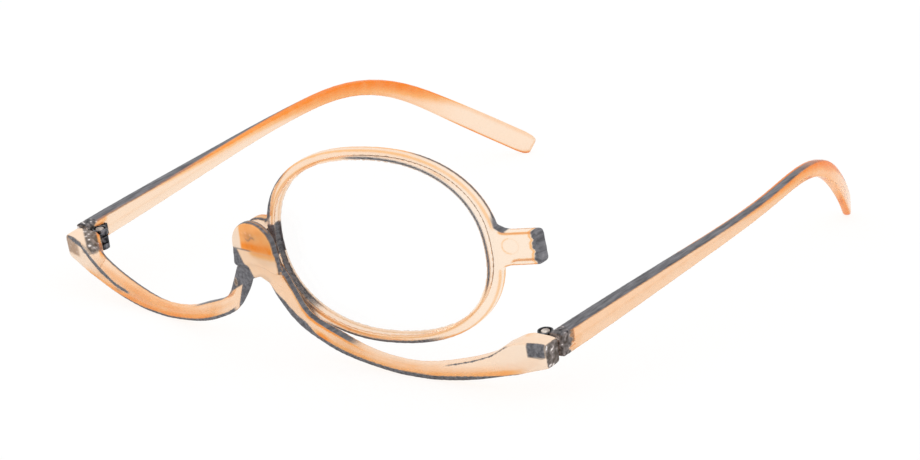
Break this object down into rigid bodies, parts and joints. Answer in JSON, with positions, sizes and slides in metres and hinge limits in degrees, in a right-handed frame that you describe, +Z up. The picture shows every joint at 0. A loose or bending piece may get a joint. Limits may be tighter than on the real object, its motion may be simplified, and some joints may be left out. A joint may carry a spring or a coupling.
{
  "type": "makeup reading glasses",
  "caption": "Makeup reading glasses: a framed lens turns over the top from eye to eye on a nose screw, above open half rims, with folding temples.",
  "frame": {"origin": "centre of the bounding box's base, which is the surface that the open glasses stand on with their half rims and temple tips", "axes": "+X to the right as seen from the front, +Y back along the temples, +Z up; the front is tilted forward by 9.8 degrees, as the glasses stand"},
  "size_m": [0.139, 0.168, 0.05],
  "materials": {
    "peach_plastic": "clear peach, polished",
    "clear_lens": "clear, polished",
    "steel": "satin",
    "brass": "satin",
    "washer_nylon": "matt"
  },
  "bodies": {
    "front": {"front_frame": "peach_plastic", "left_front_leaf": "steel", "right_front_leaf": "steel", "left_hinge_screw": "steel", "right_hinge_screw": "steel", "pivot_screw": "steel", "pivot_insert": "brass", "friction_washer": "washer_nylon"},
    "lens": {"lens_rim": "peach_plastic", "lens": "clear_lens"},
    "left_temple": {"left_temple": "peach_plastic", "left_temple_leaf": "steel"},
    "right_temple": {"right_temple": "peach_plastic", "right_temple_leaf": "steel"}
  },
  "joints": [
    {"name": "lens_swing", "type": "hinge", "parent": "front", "child": "lens", "pos_m": [0, -0.08182, 0.02367], "axis": [0, -0.9854, -0.1704], "range_deg": [-6.8, 175.6]},
    {"name": "left_temple_fold", "type": "hinge", "parent": "front", "child": "left_temple", "pos_m": [-0.0623, -0.06287, 0.0103], "axis": [0, 0.1704, -0.9854], "range_deg": [0, 90]},
    {"name": "right_temple_fold", "type": "hinge", "parent": "front", "child": "right_temple", "pos_m": [0.0623, -0.06287, 0.0103], "axis": [0, -0.1704, 0.9854], "range_deg": [0, 85]}
  ]
}
